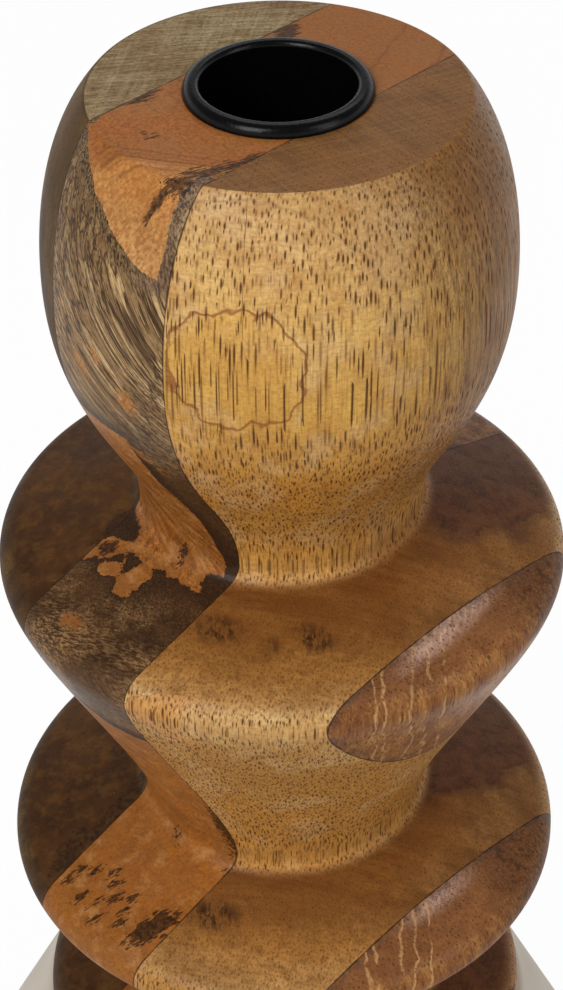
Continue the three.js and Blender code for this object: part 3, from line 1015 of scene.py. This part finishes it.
# %% Heart board: the plainer band on the top face
BAND_GROWTH = (-0.51, 0.86, 0)
BAND_EDGE = -22.8
BAND_LINES = ((-20.6, 0.3), (-21.6, 0.15), (-22.4, 0.4), (-23.2, 0.2), (-24.6, 0.3))
plain = layered(
    mix(fine, (168, 101, 47), (146, 85, 38)),
    (cloudy(place, 0.1), 0.55, (150, 102, 54)),
    (cloudy(place, 0.9, 0.55, 0.7), 0.45, (104, 60, 28)),
    (ramp(y, -6, 8), 0.6, (142, 88, 40)),
)
on_top = ramp(height, 256.5, 259)
beyond = use(layer_tree, place=place, across=BAND_GROWTH, distance=BAND_EDGE, jagged=1.2)["Beyond"]
orange = mix(times(on_top, ramp(beyond, -0.4, 0.4)), orange, plain)
orange = lined(orange, place, BAND_LINES, BAND_GROWTH, 1.2, on_top, 0.5, (118, 66, 36))

# %% Heart board: the stippled border
stipple = streaks(swept, UPRIGHT, 0.3, 0.9, softness=0.06)
dotted = mix(stipple, (132, 104, 68), (28, 20, 12))
dotted = mix(ramp(x, 3.5, 7.5), dotted, mix(stipple, (136, 108, 82), (74, 56, 44)))
dotted = mix(ramp(height, *LOW_ON_BULB), dotted, (46, 29, 17))
colour = layered(mix(inside, brown, orange), (border, 0.85, dotted))

# %% Heart board: stains, rings on the top, pores and lacquer
STAINS = (
    ((11.4, -26.5, 132.5), (0, 0, 0), (2.3, 8, 9.5)), ((8, -39.8, 118), (0, 0, -20), (2.2, 5.2, 5)),
    ((10.6, -16.6, 260), (0, 0, 0), (1, 3, 1.5)),
    ((-12.6, -14.7, 260), (0, 0, 0), (1.2, 3, 1.5)), ((-11.3, 13, 260), (0, 0, 20), (1.6, 3.4, 1.5)),
    ((-10.9, -28.3, 185.1), (0, 0, 0), (1.8, 1.6, 2)), ((1.7, -23.5, 188.1), (0, 0, 0), (0.7, 1.8, 2)),
    ((-0.8, -25.5, 123.9), (0, 0, 40), (0.4, 1.4, 1)),
)
HOOK_TOP = (
    ((8.8, -22.8, 260), (0, 0, -19), (1.6, 5.4, 2.4)), ((7.9, -26.6, 259.6), (0, 0, -35), (1.8, 2.4, 2)),
)
HOOK_TAIL = (((6.2, -29.2, 257.2), (54, 0, -21), (0.78, 4.6, 1.15)),)
HOOK_LEAN = (math.radians(50), math.radians(-17), 0)
SPECK_PLACES = (
    (-10.7, -39.5), (-11.1, -42.4), (-5.1, -36.6), (-3.2, -38), (-1.4, -40), (0.9, -38.4), (1.6, -40.4),
    (-1.5, -44.4), (-3.6, -42.6), (2.8, -43), (-8.2, -38.2), (-6.8, -43.4),
)
SPECKS = [((x, y, 118), (0, 0, -17), (0.8, 1.5, 5)) for x, y in SPECK_PLACES]
SPECKS += [((x, y, 260), (0, 0, 60), (0.4, 0.9, 1)) for x, y in ((-4.4, -21.9), (-2.9, -21.4))]
RINGS = ((18, 0.6), (20.5, 0.35), (10, 0.4))
RING_GROWTH = (0.93, 0.37, 0)
dark = gathered([
    torn(place, STAINS, FORWARD, 0.5, 1.5),
    torn(place, HOOK_TOP, FORWARD, 0.4, 2),
    torn(place, HOOK_TAIL, HOOK_LEAN, 0.4, 0.5),
    torn(place, SPECKS, FORWARD, 0.42, 1.2),
])
dark = times(dark, ramp(noise(place, 1.6, 3, 0.6), 0.35, 0.6, 1, 0.78))
colour = layered(colour, (dark, 0.96, (36, 23, 14)))
face = use(end_tree, low=0.9, high=0.99)
colour = lined(colour, place, RINGS, RING_GROWTH, 3, face["Flat"], 0.45, (112, 66, 38))
across = tubes(swept, UPRIGHT, 0.8, 0.22, length=7, stretch=1.2)["Pore"]
tilted = tubes(grown, TONGUE_LEAN, 0.7, 0.2, length=2, stretch=1.4)["Pore"]
pore = blend(inside, across, times(tilted, 0.45))
lacquered(grown, place, colour, pore, fine, 0.4, ("back", "front"), darkness=0.8)

# %% [markdown]
# ## The back board and the edge blocks
# The back board is olive brown, with dark level faces and a darker stain beside its glue joint. The blocks
# at the edge come from a reddish board whose growth stands across the joint, so they show pale wavy checks
# beside their pores, and a pale sheen is painted along their noses as a highlight.

# %% Back board
BACK_STAINS = (
    ((-13.5, -24, 186), (0, 0, 0), (1.2, 5, 5)), ((-14, -27.5, 121), (0, 0, 8), (2.2, 9, 6)),
    ((-15.4, -38, 118.3), (0, 0, 8), (2.4, 6, 4)),
)
SCRATCH_TURN = (0, 0, 0.6)
back_wood, grown, place, (x, y, height) = new_finish("back board wood", wander=1.5)
fine = fibres(grown, UPRIGHT, 0.4, 12)
drawn_out = aim("MULTIPLY", grown, (1, 1, 0.3))
side = layered(
    mix(streaks(grown, UPRIGHT, 2.4, 40), (84, 56, 26), (46, 29, 13)),
    (cloudy(drawn_out, 0.16, 0.44, 0.62), 0.6, (120, 90, 42)),
    (fine["Streak"], 0.5, (58, 38, 20)),
    (fine["Hair"], 0.7, (34, 22, 12)),
    (ramp(height, 234, 256), 0.35, (106, 82, 44)),
)
level = layered(
    mix(cloudy(place, 0.08), (80, 50, 22), (57, 32, 13)),
    (cloudy(place, 0.28, 0.46, 0.66), 0.4, (112, 78, 36)),
    (cloudy(place, 1.8, 0.62, 0.74), 0.4, (158, 116, 60)),
    (cloudy(place, 0.5, 0.5, 0.7), 0.4, (104, 64, 26)),
    (cloudy(place, 0.9, 0.5, 0.7), 0.5, (46, 30, 16)),
)
scratches = fibres(place, SCRATCH_TURN, 0.5, 30, spread=20)["Hair"]
saw = use(saw_tree, place=place, turn=-0.6)["Mark"]
top = layered(
    mix(saw, (110, 88, 54), (168, 148, 110)),
    (cloudy(place, 0.06), 0.8, (112, 82, 48)),
    (ramp(off_axis(place), 30, 42), 0.7, (92, 68, 38)),
    (scratches, 0.35, (196, 182, 150)),
)
face = use(end_tree)
colour = mix(times(face["End"], ramp(height, *RIM)), side, level)
stain = use(fray_tree, place=place, depth=ellipsoids(place, BACK_STAINS), ragged=3, grain=0.5)["Inside"]
broken = ramp(cloudy(place, 1.1, 0.42, 0.6), 0, 1, 0.4, 1)
colour = layered(colour, (times(stain, broken), 0.8, (32, 22, 12)))
colour = mix(face["Flat"], colour, top)
pore = times(tubes(grown, UPRIGHT, 0.9, 0.24)["Pore"], 0.65)
lacquered(grown, place, colour, pore, fine["Streak"], 0.6, ("back",), grit=0.4)

# %% Edge blocks
EDGE_GROWTH = (0.7, 0.714, 0)
EDGE_CHECKS = (13.4, 14.9, 19.2, 21.6, 24.2)
# Painted highlight: pale sheen zones along the noses of the upper and middle blocks.
EDGE_PAINTED_SHEEN = (
    ((38.6, -3, 182.4), (0, 0, 5), (3.2, 18, 3.2)), ((38.4, -1, 118.4), (0, 0, 0), (3, 12, 3)),
)
edge_wood, grown, place, (x, y, height) = new_finish("edge block wood", wander=1.8)
fine = fibres(grown, UPRIGHT, 0.4, 5)
far = ramp(y, 3, 17)
wavy = use(place_tree, wander=2.6, reach=7)["Place"]
checks = gathered([
    use(layer_tree, place=wavy, across=EDGE_GROWTH, distance=distance, thickness=0.32, jagged=2)["Line"]
    for distance in EDGE_CHECKS
])
checks = times(checks, cloudy(place, 0.22, 0.38, 0.48, 3), ramp(height, 183, 181.5))
brushed = ramp(streaks(place, TO_THE_CORNER, 0.5, 4, softness=0.16), 0, 1, 0.5, 0.95)
# The painted highlight, broken up by brushed strokes.
painted_sheen = times(ramp(ellipsoids(place, EDGE_PAINTED_SHEEN), 0, 2.8), cloudy(place, 0.3, 0.2, 0.5), brushed)
face = use(end_tree, low=0.6, high=0.97)
colour = layered(
    mix(streaks(grown, UPRIGHT, 2.2, 24), (196, 136, 74), (146, 90, 48)),
    (cloudy(grown, 0.14), 0.5, (122, 76, 48)),
    (cloudy(grown, 0.22, 0.52, 0.66), 0.45, (190, 134, 70)),
    (fine["Streak"], 0.5, (84, 46, 22)),
    (face["End"], 0.7, (128, 84, 52)),
    (far, 0.65, mix(fine["Streak"], (112, 72, 42), (58, 36, 20))),
    (times(far, cloudy(grown, 0.8, 0.5, 0.62)), 0.6, (44, 28, 16)),
    (painted_sheen, 1, (198, 164, 146)),
    (times(ramp(x, 38.9, 37.6), cloudy(place, 0.9, 0.4, 0.6)), 0.55, (70, 64, 62)),
    (checks, 0.6, (214, 166, 112)),
    (times(fine["Hair"], cloudy(place, 0.12, 0.5, 0.6)), 0.7, (66, 36, 18)),
)
pore = times(tubes(grown, UPRIGHT, 0.8, 0.28, length=6)["Pore"], 0.9)
lacquered(grown, place, colour, pore, fine["Streak"], 0.38, ("edge",))

print("woods:", ", ".join(material.name for material in bpy.data.materials))

# %% [markdown]
# ## Paint, powder coat, zinc and felt
# The foot has a matt off-white paint, brushed on in thin coats over end grain, so it is a little uneven. The
# cup is steel under a satin black powder coat, which dries to a fine orange-peel skin. The bolt, washer and
# nut are zinc plated, and the pad is a pressed felt of grey-brown wool.

# %% Foot paint
foot_paint, grown, *_ = new_finish("foot paint", wander=1)
brushed = noise(aim("MULTIPLY", grown, (0.15, 0.15, 2.2)), 1, 3, 0.55)
grit = noise(grown, 3.2, 2, 0.6)
tone = ramp(noise(grown, 0.05, 3), 0.3, 0.7)
colour = layered(
    mix(tone, (209, 196, 181), (201, 187, 170)),
    (ramp(brushed, 0.62, 0.8), 0.3, (186, 174, 158)),
)
surfaced(colour, ramp(grit, 0.3, 0.7, 0.52, 0.64), plus(brushed, times(grit, 0.5)), 0.35, 0.08)

# %% Black powder coat
powder, grown, *_ = new_finish("black powder coat", wander=0.5)
peel = noise(grown, 2.4, 2, 0.5)
dust = ramp(noise(grown, 0.9, 4, 0.7), 0.55, 0.8, 0, 0.35)
colour = mix(dust, (5, 5, 6), (20, 19, 18))
roughness = plus(ramp(peel, 0.3, 0.7, 0.2, 0.27), times(dust, 0.4))
surfaced(colour, roughness, plus(peel, times(noise(grown, 7, 1), 0.3)), 0.4, 0.04, {"IOR": 1.24})

# %% Zinc plating
zinc, grown, *_ = new_finish("zinc plating", wander=0.5)
crystal = put("ShaderNodeTexVoronoi", {"Vector": grown, "Scale": 0.8}, feature="F1")["Color"]
shade = put("ShaderNodeSeparateColor", {0: crystal})[0]
stain = ramp(noise(grown, 0.3, 4, 0.65), 0.4, 0.75)
scratch = noise(aim("MULTIPLY", grown, (4, 0.4, 4)), 1, 2)
colour = layered(mix(shade, (196, 197, 196), (180, 182, 184)), (stain, 0.5, (150, 148, 140)))
roughness = plus(ramp(scratch, 0.3, 0.7, 0.28, 0.38), times(stain, 0.15))
surfaced(colour, roughness, scratch, 0.25, 0.03, {"Metallic": 1})

# %% Felt
felt_wool, grown, *_ = new_finish("felt wool", wander=0.8)
tangle = noise(grown, 1.1, 5, 0.75)
curl = noise(noise(grown, 1.1, 5, 0.75, output="Color"), 9, 2)
hair = ramp(calc("ABSOLUTE", minus(curl, 0.5)), 0, 0.05, 1, 0)
colour = layered(mix(ramp(tangle, 0.3, 0.7), (74, 66, 58), (96, 86, 76)), (hair, 0.35, (134, 124, 110)))
woolly = {"Sheen Weight": 0.3, "Sheen Roughness": 0.5}
surfaced(colour, ramp(tangle, 0.2, 0.8, 0.88, 0.98), plus(tangle, times(hair, 0.3)), 0.8, 0.25, woolly)

# %% [markdown]
# ## Dressing the pieces
# Each new piece gets its material, and the table names the slot of the record it belongs to. The bolt, the
# washer and the nut keep the frame's own shape, and only their slots are given the zinc.

# %% Give every piece its finish
FINISHES = (
    (boards["board_back"], back_wood, "wood_back"),
    (boards["board_heart"], heart_wood, "wood_heart"),
    (boards["board_front"], front_wood, "wood_front"),
    (boards["edge_block_lower"], edge_wood, "wood_edge"),
    (boards["edge_block_middle"], edge_wood, "wood_edge"),
    (boards["edge_block_upper"], edge_wood, "wood_edge"),
    (foot, foot_paint, "foot_paint"),
    (felt, felt_wool, "felt"),
    (cup, powder, "black_steel"),
)
for piece, material, slot in FINISHES:
    piece.data.materials.append(material)
for node in ("hanger_bolt", "washer", "nut"):
    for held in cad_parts[node].material_slots:
        held.material = zinc
    print(node, "slots:", len(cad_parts[node].material_slots))

# %% [markdown]
# ## The floor and the background
# The picture was taken on white, with the background lost to white. The floor is a wide pale disc. Camera
# and mirror rays see it mostly as its own white light, with enough plain surface mixed in to keep the
# object's shadow, and all other rays meet a plain pale floor, so it doesn't light the object from below.
# The world is white to the camera, and to mirror rays up to the height of a studio wall. Above that, and to
# every other ray, it is a dim room.

# %% Floor
FLOOR_RADIUS = 4
FLOOR_GLOW = 0.97
WHITE = (1, 1, 1, 1)
PALE = (0.8, 0.8, 0.8, 1)
floor_mesh = bmesh.new()
bmesh.ops.create_circle(floor_mesh, cap_ends=True, segments=96, radius=FLOOR_RADIUS)
floor = finished(floor_mesh, "floor")
floor_paint = new_material("pale floor")
rays = put("ShaderNodeLightPath")
mirrored = calc("MAXIMUM", rays["Is Glossy Ray"], rays["Is Transmission Ray"])
share = times(calc("MAXIMUM", rays["Is Camera Ray"], mirrored), FLOOR_GLOW)
dull_floor = put("ShaderNodeBsdfDiffuse", {"Color": PALE})[0]
glow = put("ShaderNodeEmission", {"Color": WHITE, "Strength": 1})[0]
blended = put("ShaderNodeMixShader", {0: share, 1: dull_floor, 2: glow})[0]
put("ShaderNodeOutputMaterial", {"Surface": blended})
floor.data.materials.append(floor_paint)

# %% World
WORLD_LIGHT = 0.26
WALL_TOP = (0.25, 0.42)
world = bpy.data.worlds.new("studio")
bpy.context.scene.world = world
world.use_nodes = True
bench["tree"] = world.node_tree
bench["tree"].nodes.clear()
rays = put("ShaderNodeLightPath")
rising = split(put("ShaderNodeTexCoord")["Generated"])[2]
mirrored = calc("MAXIMUM", rays["Is Glossy Ray"], rays["Is Transmission Ray"])
seen = calc("MAXIMUM", rays["Is Camera Ray"], times(mirrored, ramp(rising, *WALL_TOP, 1, 0)))
strength = ramp(seen, 0, 1, WORLD_LIGHT, 1)
sky = put("ShaderNodeBackground", {"Color": WHITE, "Strength": strength})[0]
put("ShaderNodeOutputWorld", {"Surface": sky})
print(f"the room shines at {WORLD_LIGHT} of the white behind the object")

# %% [markdown]
# ## Light
# The highlights tell where the lamps stood: a large softbox high at the left of the camera, a weaker one at
# the right, and some light from behind that edges the black cup. An area lamp of ten watts a metre away
# shows colours about as they are written, so the lamps share about that much between them.

# %% Softboxes
AIM = Vector((0, 0, 0.18))


def softbox(name, azimuth, elevation, distance, watts, width, height):
    """An area lamp placed round the object by angles, as seen from above the front."""
    turn = math.radians(azimuth)
    lift = math.radians(elevation)
    away = Vector((math.sin(turn) * math.cos(lift), -math.cos(turn) * math.cos(lift), math.sin(lift)))
    lamp = bpy.data.lights.new(name, "AREA")
    lamp.shape = "RECTANGLE"
    lamp.size = width
    lamp.size_y = height
    lamp.energy = watts * distance * distance
    piece = bpy.data.objects.new(name, lamp)
    piece.location = AIM + away * distance
    piece.rotation_euler = away.to_track_quat("Z", "Y").to_euler()
    bpy.context.scene.collection.objects.link(piece)
    print(f"{name}: {lamp.energy:.1f} W")


softbox("key softbox", azimuth=8, elevation=45, distance=1.2, watts=6.5, width=0.5, height=0.65)
softbox("right softbox", azimuth=105, elevation=32, distance=1.3, watts=2.3, width=0.5, height=0.9)
softbox("rear softbox", azimuth=215, elevation=50, distance=1.3, watts=1.4, width=0.8, height=0.5)

# %% [markdown]
# ## Camera
# The camera looks down at the corner between two sides of the stand. Its place, angle and lens were worked
# out from the outlines of the four discs and the bulb in the picture.

# %% Camera
CAMERA_PLACE = Vector((0.20718, -0.20718, 0.42294))
CAMERA_AZIMUTH = 45
CAMERA_PITCH = 39.012
CAMERA_ROLL = -0.436
IMAGE_HEIGHT = 990
FOCAL_PIXELS = 2308.66
SENSOR = 36

camera_data = bpy.data.cameras.new("camera")
camera_data.sensor_width = SENSOR
camera_data.lens = SENSOR * FOCAL_PIXELS / IMAGE_HEIGHT
camera_data.clip_start = 0.01
camera = bpy.data.objects.new("camera", camera_data)
camera.matrix_world = (
    Matrix.Translation(CAMERA_PLACE)
    @ Matrix.Rotation(math.radians(CAMERA_AZIMUTH), 4, "Z")
    @ Matrix.Rotation(math.radians(90 - CAMERA_PITCH), 4, "X")
    @ Matrix.Rotation(math.radians(CAMERA_ROLL), 4, "Z")
)
bpy.context.scene.collection.objects.link(camera)
bpy.context.scene.camera = camera
bpy.context.scene.view_settings.view_transform = "Standard"
print(f"camera: {camera_data.lens:.1f} mm lens")
